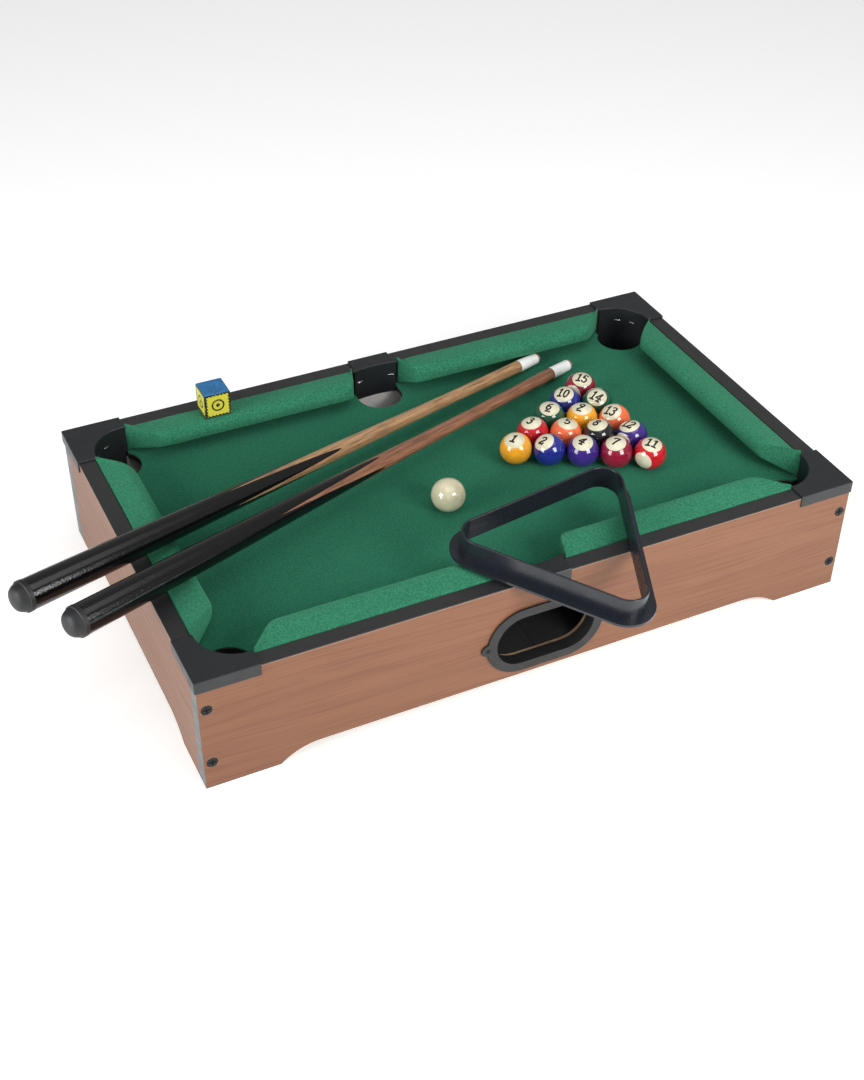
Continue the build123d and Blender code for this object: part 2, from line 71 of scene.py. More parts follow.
class Shader:
    """One procedural material. Its calls add nodes and give back their output sockets."""

    def __init__(self, name, roughness=0.5, colour=None, **sockets):
        self.material = bpy.data.materials.new(name)
        self.material.use_nodes = True
        self.tree = self.material.node_tree
        self.surface = self.tree.nodes["Principled BSDF"]
        self.surface.inputs["Roughness"].default_value = roughness
        if colour is not None:
            self.surface.inputs["Base Color"].default_value = colour
        for socket, value in sockets.items():
            self.surface.inputs[socket.replace("_", " ")].default_value = value
        place = self.tree.nodes.new("ShaderNodeTexCoord").outputs["Object"]
        self.place = self.vector("SCALE", place, scale=1000.0)

    def add(self, kind, inputs, **settings):
        node = self.tree.nodes.new("ShaderNode" + kind)
        for key, value in settings.items():
            setattr(node, key, value)
        for key, value in inputs.items():
            if isinstance(value, bpy.types.NodeSocket):
                self.tree.links.new(value, node.inputs[key])
            else:
                node.inputs[key].default_value = value
        return node

    def math(self, operation, a, b=0.0, c=0.0):
        return self.add("Math", {0: a, 1: b, 2: c}, operation=operation).outputs[0]

    def vector(self, operation, a, b=(0.0, 0.0, 0.0), scale=1.0):
        inputs = {0: a, "Scale": scale} if operation == "SCALE" else {0: a, 1: b}
        node = self.add("VectorMath", inputs, operation=operation)
        scalar = operation in ("DOT_PRODUCT", "LENGTH", "DISTANCE")
        return node.outputs["Value" if scalar else "Vector"]

    def parts(self, vector):
        return self.add("SeparateXYZ", {0: vector}).outputs

    def join(self, x, y, z):
        return self.add("CombineXYZ", {0: x, 1: y, 2: z}).outputs[0]

    def noise(self, vector, scale, detail=2.0, roughness=0.5):
        inputs = {"Vector": vector, "Scale": scale, "Detail": detail, "Roughness": roughness}
        return self.add("TexNoise", inputs).outputs["Fac"]

    def span(self, value, low, high, to_low=0.0, to_high=1.0):
        """value from low to high, as to_low to to_high, smoothly and clamped."""
        inputs = {0: value, 1: low, 2: high, 3: to_low, 4: to_high}
        return self.add("MapRange", inputs, interpolation_type="SMOOTHSTEP").outputs[0]

    def mix(self, share, a, b):
        return self.add("Mix", {0: share, 6: a, 7: b}, data_type="RGBA").outputs[2]

    def paint(self, colour):
        self.tree.links.new(colour, self.surface.inputs["Base Color"])

    def polish(self, roughness):
        self.tree.links.new(roughness, self.surface.inputs["Roughness"])

    def relief(self, height):
        """Bump from a height in millimetres."""
        node = self.add("Bump", {"Height": height, "Distance": MM, "Strength": 1.0})
        self.tree.links.new(node.outputs[0], self.surface.inputs["Normal"])


# ---- Materials ----------------------------------------------------------------------------

# In millimetres: the height above which the laminate's top edge is painted paler, and the
# radius of the chipped ring round each screw
PALE_TOP_HEIGHT = 94.6
CHIPPED_RING = 5.45

# A ball's number disc and end caps, as cosines of their half-angles, and how soft their rims are
DISC_COSINE = cos(radians(38.5))
CAP_COSINE = cos(radians(35.0))
PRINT_BLUR = 0.006


def felt(name, light, dark, pile=0.5):
    """Short-napped cloth: clumped fibres, a faint weave and a soft sheen."""
    sheen = {"Sheen_Weight": 0.35, "Sheen_Roughness": 0.45, "Sheen_Tint": srgb(120, 215, 170)}
    cloth = Shader(name, roughness=0.95, **sheen)
    cloth.surface.inputs["Specular IOR Level"].default_value = 0.15
    clumps = cloth.noise(cloth.place, 0.75, detail=3.0, roughness=0.7)
    lie = cloth.vector("MULTIPLY", cloth.place, (1.0, 2.2, 1.6))
    fibres = cloth.noise(lie, 1.9, detail=2.0, roughness=0.8)
    broad = cloth.noise(cloth.place, 0.02, detail=2.0)
    speckle = cloth.math("MULTIPLY_ADD", clumps, 0.6, cloth.math("MULTIPLY", fibres, 0.4))
    tone = cloth.span(speckle, 0.40, 0.60)
    tone = cloth.math("MULTIPLY_ADD", tone, 0.8, cloth.math("MULTIPLY", broad, 0.2))
    cloth.paint(cloth.mix(tone, dark, light))
    cloth.relief(cloth.math("MULTIPLY", speckle, pile))
    return cloth.material


def laminate(name, along, screw_spots, light, dark, streak):
    """Printed wood-grain laminate with long streaks, paler along its top edge, its screw holes worn pale.

    along is the axis of the grain, 0 for X and 1 for Y.
    """
    wood = Shader(name, roughness=0.45)
    wood.surface.inputs["Specular IOR Level"].default_value = 0.35
    x, y, z = wood.parts(wood.place)[:3]
    run = (x, y)[along]
    swirl = wood.join(wood.math("MULTIPLY", run, 0.006), wood.math("MULTIPLY", z, 0.02), 3.1 + along)
    height = wood.math("MULTIPLY_ADD", wood.noise(swirl, 1.0), 14.0, z)
    height = wood.math("MULTIPLY_ADD", run, 0.03, height)

    def grain(stretch, fineness, shift, detail, roughness=0.5):
        spot = wood.join(wood.math("MULTIPLY", run, stretch), wood.math("MULTIPLY", height, fineness), shift)
        return wood.noise(spot, 1.0, detail, roughness)

    broad = grain(0.006, 0.10, 1.7, 2.0)
    streaks = grain(0.010, 0.62, 5.0, 3.0, 0.6)
    hairs = grain(0.016, 1.5, 7.0, 2.0)
    pores = grain(0.10, 3.2, 9.0, 1.0)
    base = wood.mix(wood.span(broad, 0.3, 0.7), dark, light)
    streaked = wood.mix(wood.span(streaks, 0.50, 0.34, 0.0, 0.50), base, streak)
    haired = wood.mix(wood.span(hairs, 0.44, 0.32, 0.0, 0.45), streaked, streak)
    pored = wood.mix(wood.span(pores, 0.58, 0.74, 0.0, 0.25), haired, toned(streak, 0.7))
    # The laminate is painted paler above this height, along its top edge.
    rim = wood.span(z, PALE_TOP_HEIGHT, PALE_TOP_HEIGHT + 0.3, 0.0, 0.35)
    chipped = wood.noise(wood.place, 0.9, 2.0)
    for spot in screw_spots:
        reach = wood.vector("DISTANCE", wood.place, spot)
        ragged = wood.math("MULTIPLY_ADD", chipped, 2.4, reach)
        ring = wood.span(ragged, CHIPPED_RING, CHIPPED_RING - 0.2, 0.0, 0.8)
        rim = wood.math("MAXIMUM", rim, ring)
    wood.paint(wood.mix(rim, pored, srgb(196, 168, 146)))
    wood.polish(wood.span(streaks, 0.35, 0.65, 0.52, 0.42))
    wood.relief(wood.math("MULTIPLY", pores, 0.02))
    return wood.material


def inner_face(name, pale, dark, top):
    """The panels' pale backing, painted black above the bed's underside as shade in the gap under the
    cushions.
    """
    board = Shader(name, roughness=0.7)
    fibres = board.noise(board.place, 0.35, 4.0, 0.6)
    height = board.parts(board.place)["Z"]
    plain = board.mix(board.span(fibres, 0.35, 0.65), toned(pale, 0.92), pale)
    # Painted shade: black above the bed's underside, for the shadowed gap under the cushions.
    board.paint(board.mix(board.span(height, top - 0.2, top + 0.2), plain, dark))
    board.relief(board.math("MULTIPLY", fibres, 0.1))
    return board.material


def plain_board(name, light, dark, grain=0.5, roughness=0.8):
    """Fibreboard, softwood, leather or pressed chalk: felted fibres in two close tones."""
    board = Shader(name, roughness=roughness)
    fibres = board.noise(board.vector("MULTIPLY", board.place, (0.35, 0.35, 1.2)), grain, 5.0, 0.65)
    board.paint(board.mix(board.span(fibres, 0.35, 0.65), dark, light))
    board.relief(board.math("MULTIPLY", fibres, 0.12))
    return board.material


def moulded(name, colour, worn, roughness, texture, scale=3.0):
    """Moulded plastic or rubber with a fine texture and slightly rubbed patches."""
    plastic = Shader(name, roughness=roughness)
    fine = plastic.noise(plastic.place, scale, 2.0)
    rubbed = plastic.noise(plastic.place, 0.09, 4.0, 0.6)
    plastic.paint(plastic.mix(plastic.span(rubbed, 0.4, 0.75, 0.0, 0.7), colour, worn))
    plastic.polish(plastic.span(rubbed, 0.3, 0.7, roughness + 0.05, roughness - 0.05))
    plastic.relief(plastic.math("MULTIPLY", fine, texture))
    return plastic.material


def steel(name, colour, roughness, metallic=1.0):
    """Drawn or machined metal with fine tool marks."""
    metal = Shader(name, roughness=roughness, Metallic=metallic)
    marks = metal.noise(metal.vector("MULTIPLY", metal.place, (6.0, 6.0, 1.0)), 1.5, 3.0)
    metal.paint(metal.mix(metal.span(marks, 0.3, 0.7), colour, toned(colour, 0.7)))
    metal.polish(metal.span(marks, 0.3, 0.7, roughness * 0.8, roughness * 1.3))
    metal.relief(metal.math("MULTIPLY", marks, 0.02))
    return metal.material


def resin(name, centre, colour, facing=None, stripe_axis=None):
    """Polished ball resin; its cream number disc and end caps point along facing and stripe_axis."""
    ball = Shader(name, roughness=0.16, colour=colour, Coat_Weight=0.5, Coat_Roughness=0.04)
    out = ball.vector("NORMALIZE", ball.vector("SUBTRACT", ball.place, centre))
    cloudy = ball.noise(ball.place, 0.16, 3.0)
    body = ball.mix(ball.span(cloudy, 0.3, 0.7), toned(colour, 0.82), colour)
    pale = ball.mix(ball.span(cloudy, 0.3, 0.7), srgb(202, 196, 168), srgb(210, 205, 180))
    if stripe_axis is not None:
        across = ball.math("ABSOLUTE", ball.vector("DOT_PRODUCT", out, stripe_axis))
        body = ball.mix(ball.span(across, CAP_COSINE - PRINT_BLUR, CAP_COSINE + PRINT_BLUR), body, pale)
    if facing is not None:
        level = ball.vector("DOT_PRODUCT", out, facing)
        body = ball.mix(ball.span(level, DISC_COSINE - PRINT_BLUR, DISC_COSINE + PRINT_BLUR), body, pale)
    ball.paint(body)
    scuffs = ball.noise(ball.place, 1.1, 4.0, 0.7)
    ball.polish(ball.span(scuffs, 0.3, 0.8, 0.04, 0.10))
    return ball.material


# ---- Mesh kit -----------------------------------------------------------------------------

EDGE_TURN = radians(35.0)
LATHE_SIDES = 64


def link(name, mesh, body, slot, materials, stands_for=()):
    """Make the mesh a piece of the object, riding on a CAD body."""
    piece = bpy.data.objects.new(name, mesh)
    bpy.context.scene.collection.objects.link(piece)
    for material in materials:
        mesh.materials.append(material)
    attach(piece, body)
    if stands_for:
        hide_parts(*stands_for)
    return piece


def finished(bm, name, sharp=40.0):
    """The bmesh as a smooth-shaded mesh whose real corners stay crisp."""
    bm.normal_update()
    mesh = bpy.data.meshes.new(name)
    bm.to_mesh(mesh)
    bm.free()
    mesh.shade_smooth()
    mesh.set_sharp_from_angle(angle=radians(sharp))
    return mesh


def cad_shape(node):
    """The CAD node's shape as a bmesh with its flat faces whole."""
    source = frame["nodes"][node].data
    bm = bmesh.new()
    points = [bm.verts.new(v.co) for v in source.vertices]
    for polygon in source.polygons:
        bm.faces.new([points[i] for i in polygon.vertices])
    bmesh.ops.remove_doubles(bm, verts=bm.verts, dist=1e-6)
    bmesh.ops.dissolve_limit(bm, angle_limit=radians(0.5), verts=bm.verts, edges=bm.edges)
    return bm


def softened(node, name, body, slot, materials, radius, rule=None):
    """A CAD part with its edges rounded; rule gives each face's material from its middle and normal."""
    bm = cad_shape(node)
    turned = [e for e in bm.edges if len(e.link_faces) == 2 and e.calc_face_angle() > EDGE_TURN]
    bmesh.ops.bevel(
        bm, geom=turned, offset=radius * MM, offset_type="OFFSET", segments=2, profile=0.5,
        affect="EDGES", clamp_overlap=True,
    )
    bm.normal_update()
    if rule is not None:
        for face in bm.faces:
            face.material_index = rule(face.calc_center_median() / MM, face.normal)
    piece = link(name, finished(bm, name, 50.0), body, slot, materials, [node])
    piece.modifiers.new("flat_faces", "WEIGHTED_NORMAL").keep_sharp = True
    return piece


def lathe(name, start, axis, profile):
    """Closed solid of revolution: profile lists (distance along axis, radius) in millimetres."""
    axis = axis.normalized()
    side = axis.cross(Vector((0, 0, 1))).normalized()
    lift = side.cross(axis)
    turns = [2 * pi * k / LATHE_SIDES for k in range(LATHE_SIDES)]
    bm = bmesh.new()
    rings = []
    for along, radius in profile:
        centre = start + axis * along * MM
        rings.append([bm.verts.new(centre + (side * cos(a) + lift * sin(a)) * radius * MM) for a in turns])
    for ring, after in zip(rings, rings[1:]):
        for k in range(LATHE_SIDES):
            bm.faces.new((ring[k], ring[k - 1], after[k - 1], after[k]))
    bm.faces.new(rings[0])
    bm.faces.new(rings[-1][::-1])
    bmesh.ops.recalc_face_normals(bm, faces=bm.faces)
    return finished(bm, name)


# ---- Camera, floor and light --------------------------------------------------------------

camera_place = Vector((-0.4458, -0.8875, 0.8030))
look = Vector((0.3425, 0.7049, -0.6212)).normalized()
camera_roll = radians(0.57)
camera_data = bpy.data.cameras.new("camera")
camera = bpy.data.objects.new("camera", camera_data)
bpy.context.scene.collection.objects.link(camera)
camera_data.sensor_width = 36.0
camera_data.lens = 53.46
level = look.to_track_quat("-Z", "Y").to_matrix()
tilted = level @ Matrix.Rotation(camera_roll, 3, "Z")
camera.matrix_world = Matrix.Translation(camera_place) @ tilted.to_4x4()
bpy.context.scene.camera = camera

bpy.context.scene.view_settings.view_transform = "Standard"
world = bpy.data.worlds.new("studio")
bpy.context.scene.world = world
world.use_nodes = True
world.node_tree.nodes["Background"].inputs["Color"].default_value = (1.0, 1.0, 1.0, 1.0)
world.node_tree.nodes["Background"].inputs["Strength"].default_value = 0.36

table_middle = Vector((0.0, 0.0, 0.06))


def softbox(name, direction, distance, width, height, power):
    """An area light, in metres and watts, that faces the table's middle from the given direction."""
    data = bpy.data.lights.new(name, "AREA")
    data.shape = "RECTANGLE"
    data.size = width
    data.size_y = height
    data.energy = power
    light = bpy.data.objects.new(name, data)
    bpy.context.scene.collection.objects.link(light)
    away = Vector(direction).normalized()
    light.location = table_middle + away * distance
    light.rotation_mode = "QUATERNION"
    light.rotation_quaternion = (-away).to_track_quat("-Z", "Y")


softbox("left_softbox", (-0.940, -0.173, 0.283), 1.6, 0.70, 0.95, 20.0)
softbox("front_softbox", (0.283, -0.836, 0.447), 1.0, 0.40, 0.50, 7.8)
softbox("overhead_softbox", (0.10, -0.25, 1.0), 1.7, 1.6, 1.2, 9.0)

FLOOR = 6.0
floor_corners = [(-FLOOR, -FLOOR, 0), (FLOOR, -FLOOR, 0), (FLOOR, FLOOR, 0), (-FLOOR, FLOOR, 0)]
floor_mesh = bpy.data.meshes.new("floor")
floor_mesh.from_pydata(floor_corners, [], [(0, 1, 2, 3)])
floor = bpy.data.objects.new("floor", floor_mesh)
bpy.context.scene.collection.objects.link(floor)
floor_glow = {"Emission_Color": (1.0, 1.0, 1.0, 1.0), "Emission_Strength": 0.32}
pale_floor = Shader("pale_floor", roughness=0.9, colour=(0.93, 0.93, 0.93, 1.0), **floor_glow)
floor_mesh.materials.append(pale_floor.material)

# ---- Cabinet ------------------------------------------------------------------------------

SCREW_HEAD = 4.25 * MM
panel_screw_spots = []
for node in ("front_panel_screws", "rear_panel_screws"):
    low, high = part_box(node)
    face_y = low.y if high.y < 0 else high.y
    for x in (low.x + SCREW_HEAD, high.x - SCREW_HEAD):
        for z in (low.z + SCREW_HEAD, high.z - SCREW_HEAD):
            panel_screw_spots.append(Vector((x, face_y, z)) / MM)

long_colours = (srgb(126, 84, 59), srgb(119, 78, 55), srgb(101, 63, 44))
end_colours = (srgb(119, 82, 60), srgb(114, 78, 57), srgb(102, 69, 50))
long_laminate = laminate("laminate_long", 0, panel_screw_spots, *long_colours)
end_laminate = laminate("laminate_end", 1, [], *end_colours)
bed_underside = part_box("bed_board")[0].z / MM
# The backing's black above the bed's underside is painted shade under the cushions.
backing = inner_face("panel_backing", srgb(222, 220, 216), srgb(24, 24, 25), bed_underside)
raw_board = plain_board("raw_board", srgb(172, 143, 112), srgb(150, 121, 92))
edge_band = moulded("edge_band", srgb(35, 35, 37), srgb(43, 41, 41), 0.42, 0.015, 2.0)
end_band = moulded("end_band", srgb(78, 82, 84), srgb(90, 94, 95), 0.45, 0.015, 2.0)


FACING = 0.7
OUTSIDE, INSIDE, BANDED_END, RAW = range(4)


def long_panel_face(middle, normal):
    """Laminate outside, pale backing inside, banded ends, raw board elsewhere."""
    if abs(normal.y) > FACING:
        return OUTSIDE if middle.y * normal.y > 0 else INSIDE
    if abs(normal.x) > FACING and abs(middle.x) > 250:
        return BANDED_END
    return RAW


def end_panel_face(middle, normal):
    """Laminate outside, pale backing inside, raw board on every edge."""
    if abs(normal.x) > FACING:
        return OUTSIDE if middle.x * normal.x > 0 else INSIDE
    return RAW


panel_looks = {
    "front_panel": (long_laminate, long_panel_face),
    "rear_panel": (long_laminate, long_panel_face),
    "left_end_panel": (end_laminate, end_panel_face),
    "right_end_panel": (end_laminate, end_panel_face),
}
for panel, (outside, rule) in panel_looks.items():
    panel_materials = [outside, backing, end_band, raw_board]
    softened(panel, f"{panel}_board", "table", "laminate", panel_materials, 0.35, rule)
for side in ("front", "rear", "left", "right"):
    softened(f"{side}_rail_band", f"{side}_rail_band_strip", "table", "edge_band", [edge_band], 0.3)

black_screw = steel("black_screw", srgb(38, 38, 37), 0.45, 0.6)
for node in ("front_panel_screws", "rear_panel_screws", "bezel_screws"):
    softened(node, f"{node}_set", "table", "screw_black", [black_screw], 0.12)

pocket_plastic = moulded("pocket_plastic", srgb(25, 27, 29), srgb(32, 34, 36), 0.42, 0.05, 2.6)
for place in ("front_left", "front_right", "rear_left", "rear_right", "front_side", "rear_side"):
    pocket = f"{place}_pocket"
    softened(pocket, f"{pocket}_moulding", "table", "pocket_plastic", [pocket_plastic], 0.3)
staple_steel = steel("staple_steel", srgb(214, 214, 216), 0.25)
softened("pocket_staples", "pocket_staple_set", "table", "staple_steel", [staple_steel], 0.08)

bezel_plastic = moulded("bezel_plastic", srgb(19, 19, 21), srgb(26, 26, 28), 0.5, 0.04, 2.6)
bezel = "ball_return_bezel"
softened(bezel, f"{bezel}_moulding", "table", "bezel_plastic", [bezel_plastic], 0.35)

# The ramps are painted near-black, standing in for the shade inside the ball return.
shade_black_ramp = plain_board("ramp_board", srgb(18, 18, 19), srgb(12, 12, 13), 0.5, 0.85)
for side in ("left", "right"):
    softened(f"{side}_ball_ramp", f"{side}_ball_ramp_board", "table", "ramp_board", [shade_black_ramp], 0.3)
# The bed board's cut edges are painted near-black as shade in the gaps down the pocket holes.
painted_shade_edge = plain_board("painted_shade_edge", srgb(34, 32, 30), srgb(24, 23, 22), 0.5, 0.9)


def bed_board_face(middle, normal):
    """Raw board above and below; near-black in the pockets' cut-outs, painted shade down the pocket holes.
    """
    return 0 if abs(normal.z) > FACING else 1


softened("bed_board", "bed_board_panel", "table", "bed_mdf", [raw_board, painted_shade_edge], 0.3, bed_board_face)
batten_wood = plain_board("batten_wood", srgb(206, 178, 138), srgb(184, 152, 112), 0.3)
softened("bed_battens", "bed_batten_set", "table", "batten_wood", [batten_wood], 0.5)

# ---- Cloth and cushions -------------------------------------------------------------------

bed_felt = felt("bed_felt", srgb(42, 114, 88), srgb(23, 82, 61))
# The cushion felt is the bed's cloth painted lighter: painted light on the cushion tops.
cushion_felt = felt("cushion_felt", srgb(58, 132, 101), srgb(28, 92, 68), 0.7)

bed_cloth = softened("bed_cloth", "bed_cloth_sheet", "table", "bed_cloth", [bed_felt], 0.3)
low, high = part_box("bed_cloth")

# Cushions, in millimetres: a foam strip with a round nose, narrowing to the rail at its mouths.
# The strip within HELD of the rail stays put; the rest is eased and puffed up by PUFF at most.
NOSE_RADIUS = 8.0
CORNER_RADIUS = 12.0
RAIL_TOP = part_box("front_rail_band")[1].z / MM
CELL = 1.3
HELD = 0.6
PUFF = 0.45
PUFF_SCALE = 10.0
PUFF_FRAMES = 20


def plan_outline(length, depth, start_inset, end_inset):
    """Evenly spaced points (along, depth) round the playing side, the two nose corners rounded."""
    places = ((0, 0), (start_inset, depth), (length - end_inset, depth), (length, 0))
    corners = [Vector(place) for place in places]
    stops = [corners[0]]
    for before, corner, after in zip(corners, corners[1:], corners[2:]):
        to_before = (before - corner).normalized()
        to_after = (after - corner).normalized()
        half = to_before.angle(to_after) / 2
        cut = CORNER_RADIUS / sin(half) * cos(half)
        centre = corner + (to_before + to_after).normalized() * CORNER_RADIUS / sin(half)
        first = corner + to_before * cut - centre
        turn = first.angle_signed(corner + to_after * cut - centre)
        stops += [centre + Matrix.Rotation(-turn * k / 12, 2) @ first for k in range(13)]
    stops.append(corners[-1])
    runs = np.cumsum([0.0] + [(b - a).length for a, b in zip(stops, stops[1:])])
    spots = np.linspace(0.0, runs[-1], int(runs[-1] / CELL))
    across = np.interp(spots, runs, [p.x for p in stops])
    out = np.interp(spots, runs, [p.y for p in stops])
    return list(zip(across.tolist(), out.tolist()))


def tangent_turn(start, nose, side):
    """Angle on the nose circle where a line from start touches it; side is +1 above, -1 below."""
    reach = nose - start
    return atan2(reach.y, reach.x) + side * (pi - acos(NOSE_RADIUS / reach.length))


def cushion_section(depth, bed, crest):
    """Full section (inward, height): up the underside, round the nose and back to the rail."""
    foot = Vector((0.1, bed + 0.05))
    rail = Vector((0.1, RAIL_TOP + 0.05))
    nose = Vector((depth - NOSE_RADIUS, crest - NOSE_RADIUS))
    low_turn = tangent_turn(foot, nose, -1)
    high_turn = tangent_turn(rail, nose, 1)
    arc = [nose + Vector((cos(a), sin(a))) * NOSE_RADIUS for a in np.linspace(low_turn, high_turn, 20)]
    under = int((arc[0] - foot).length / CELL)
    over = int((arc[-1] - rail).length / CELL)
    section = [foot.lerp(arc[0], k / under) for k in range(under)]
    return section + arc + [arc[-1].lerp(rail, k / over) for k in range(1, over + 1)]


def cushion(node, start_inset, end_inset):
    """A cloth-covered cushion in the space of its CAD solid, with its edges eased."""
    low, high = (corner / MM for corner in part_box(node))
    size = high - low
    lengthwise = size.x > size.y
    side = 1 if (low.y if lengthwise else low.x) > 0 else -1
    along = Vector((1, 0, 0)) if lengthwise else Vector((0, 1, 0))
    inward = Vector((0, -side, 0)) if lengthwise else Vector((-side, 0, 0))
    rail = high if side > 0 else low
    origin = Vector((low.x, rail.y, 0)) if lengthwise else Vector((rail.x, low.y, 0))
    depth = abs(size.dot(inward))
    section = cushion_section(depth, low.z, high.z)
    bm = bmesh.new()
    rings = []
    for run, reach in plan_outline(size.dot(along), depth, start_inset, end_inset):
        foot = origin + along * run
        limit = max(reach, 0.1)
        ring = [foot + inward * min(p.x, limit) + Vector((0, 0, p.y)) for p in section]
        rings.append([bm.verts.new(point * MM) for point in ring])
    for ring, after in zip(rings, rings[1:]):
        for k in range(len(section)):
            bm.faces.new((ring[k], ring[k - 1], after[k - 1], after[k]))
    bmesh.ops.remove_doubles(bm, verts=bm.verts, dist=1e-5)
    bmesh.ops.holes_fill(bm, edges=[e for e in bm.edges if e.is_boundary])
    bmesh.ops.recalc_face_normals(bm, faces=bm.faces)
    free = [v for v in bm.verts if (v.co / MM - origin).dot(inward) > HELD]
    axes = {"use_axis_x": True, "use_axis_y": True, "use_axis_z": True}
    for _ in range(12):
        bmesh.ops.smooth_vert(bm, verts=free, factor=0.5, **axes)
    for v in free:
        swell = noise.noise_vector(v.co / MM * 0.06) * 0.2 * MM
        v.co += swell + noise.noise_vector(v.co / MM * 0.25) * 0.05 * MM
    held = [v.index for v in bm.verts if (v.co / MM - origin).dot(inward) <= HELD]
    mesh = finished(bm, f"{node}_cover", 180.0)
    piece = link(f"{node}_cover", mesh, "table", "cushion_cloth", [cushion_felt], [node])
    piece.vertex_groups.new(name="held").add(held, 1.0, "REPLACE")
    return piece


def puff_up(pieces):
    """Short cloth simulation on enlarged copies: the foam presses the covers outward a little."""
    scene = bpy.context.scene
    bench = {}
    for piece in pieces:
        mesh = piece.data.copy()
        mesh.transform(Matrix.Scale(PUFF_SCALE, 4))
        trial = piece.copy()
        trial.data = mesh
        trial.name = f"{piece.name}_trial"
        scene.collection.objects.link(trial)
        cloth = trial.modifiers.new("cloth", "CLOTH")
        cloth.settings.quality = 4
        cloth.settings.tension_stiffness = 25.0
        cloth.settings.compression_stiffness = 25.0
        cloth.settings.use_pressure = True
        cloth.settings.uniform_pressure_force = 4.0
        cloth.settings.vertex_group_mass = "held"
        cloth.settings.effector_weights.gravity = 0.0
        cloth.collision_settings.use_collision = False
        cloth.point_cache.frame_start = 1
        cloth.point_cache.frame_end = PUFF_FRAMES
        bench[piece.name] = trial
    for step in range(1, PUFF_FRAMES + 1):
        scene.frame_set(step)
    settled = bpy.context.evaluated_depsgraph_get()
    for piece in pieces:
        trial = bench[piece.name]
        result = trial.evaluated_get(settled).data
        for v, after in zip(piece.data.vertices, result.vertices):
            shift = after.co / PUFF_SCALE - v.co
            v.co += shift * min(1.0, PUFF * MM / max(shift.length, 1e-9))
        bpy.data.objects.remove(trial)
    scene.frame_set(1)


# How far the nose stops short of the rail's end, in millimetres: at a corner pocket, at a side
# pocket, and at both ends of the end cushions
MOUTH_CORNER = 23.4
MOUTH_SIDE = 7.6
MOUTH_END = 23.9
covers = []
for row in ("front", "rear"):
    covers.append(cushion(f"{row}_left_cushion", MOUTH_CORNER, MOUTH_SIDE))
    covers.append(cushion(f"{row}_right_cushion", MOUTH_SIDE, MOUTH_CORNER))
for end in ("left", "right"):
    covers.append(cushion(f"{end}_end_cushion", MOUTH_END, MOUTH_END))
puff_up(covers)
for cover in covers:
    smooth = cover.modifiers.new("smooth", "SUBSURF")
    smooth.levels = 1
    smooth.render_levels = 1

# ---- Balls --------------------------------------------------------------------------------

ball_colours = {
    1: srgb(240, 165, 40),
    2: srgb(34, 42, 132),
    3: srgb(196, 26, 40),
    4: srgb(58, 34, 122),
    5: srgb(240, 112, 66),
    6: srgb(22, 84, 62),
    7: srgb(140, 22, 52),
    8: srgb(30, 29, 31),
}


def direction(lean, turn):
    """Unit vector leaning from straight up towards the compass turn, in degrees from +X."""
    tilt = radians(lean)
    compass = radians(turn)
    return Vector((sin(tilt) * cos(compass), sin(tilt) * sin(compass), cos(tilt)))


def sphere_mesh(name, centre, radius):
    """A ball of evenly spread quads, from a divided cube."""
    bm = bmesh.new()
    bmesh.ops.create_cube(bm, size=2.0)
    bmesh.ops.subdivide_edges(bm, edges=bm.edges, cuts=19, use_grid_fill=True)
    for v in bm.verts:
        v.co = centre + v.co.normalized() * radius
    return finished(bm, name, 180.0)


def arc(x, y, wide, tall, first, last):
    """Points of an elliptical arc, its angles in degrees."""
    turns = np.radians(np.linspace(first, last, 2 + int(abs(last - first) / 12)))
    return [(x + wide * cos(a), y + tall * sin(a)) for a in turns]


# Strokes of each digit, as lines of points in a cell one high
six = [arc(0.31, 0.29, 0.21, 0.22, 0, 360), arc(0.53, 0.29, 0.43, 0.62, 180, 96)]
digit_strokes = {
    "0": [arc(0.31, 0.49, 0.21, 0.42, 0, 360)],
    "1": [[(0.15, 0.74), (0.34, 0.90), (0.34, 0.07)], [(0.13, 0.07), (0.55, 0.07)]],
    "2": [arc(0.31, 0.67, 0.21, 0.24, 165, -38) + [(0.10, 0.08), (0.54, 0.08), (0.56, 0.22)]],
    "3": [arc(0.29, 0.71, 0.20, 0.20, 150, -90), arc(0.29, 0.28, 0.23, 0.23, 90, -150)],
    "4": [[(0.42, 0.08), (0.42, 0.91), (0.05, 0.33), (0.60, 0.33)], [(0.27, 0.06), (0.57, 0.06)]],
    "5": [[(0.54, 0.90), (0.17, 0.90), (0.13, 0.50)] + arc(0.29, 0.30, 0.24, 0.24, 125, -150)],
    "6": six,
    "7": [[(0.07, 0.76), (0.09, 0.90), (0.56, 0.90), (0.27, 0.06)]],
    "8": [arc(0.31, 0.71, 0.17, 0.19, 0, 360), arc(0.31, 0.27, 0.21, 0.21, 0, 360)],
    "9": [[(0.62 - x, 0.97 - y) for x, y in stroke] for stroke in six],
}

# Numerals: pitch and slant are shares of their height, the rest is in millimetres
DIGIT_PITCH = 0.66
SLANT = 0.20
PAIR_WIDTH = 0.82
SINGLE_HEIGHT = 7.8
PAIR_HEIGHT = 9.0
STROKE_HALF = 0.72
GRID = 0.3
INK_LEVELS = (0.025, -0.06)


def numeral_strokes(text):
    """The number's strokes in millimetres about the disc's centre; 6 and 9 are underlined."""
    strokes = []
    for place, digit in enumerate(text):
        start = DIGIT_PITCH * place - DIGIT_PITCH * len(text) / 2
        for stroke in digit_strokes[digit]:
            strokes.append([(x + start + SLANT * (y - 0.5), y - 0.5) for x, y in stroke])
    if text in ("6", "9"):
        strokes.append([(-0.30, -0.64), (0.16, -0.64)])
    if len(text) == 1:
        return [np.array(stroke) * SINGLE_HEIGHT for stroke in strokes]
    return [np.array(stroke) * (PAIR_HEIGHT * PAIR_WIDTH, PAIR_HEIGHT) for stroke in strokes]


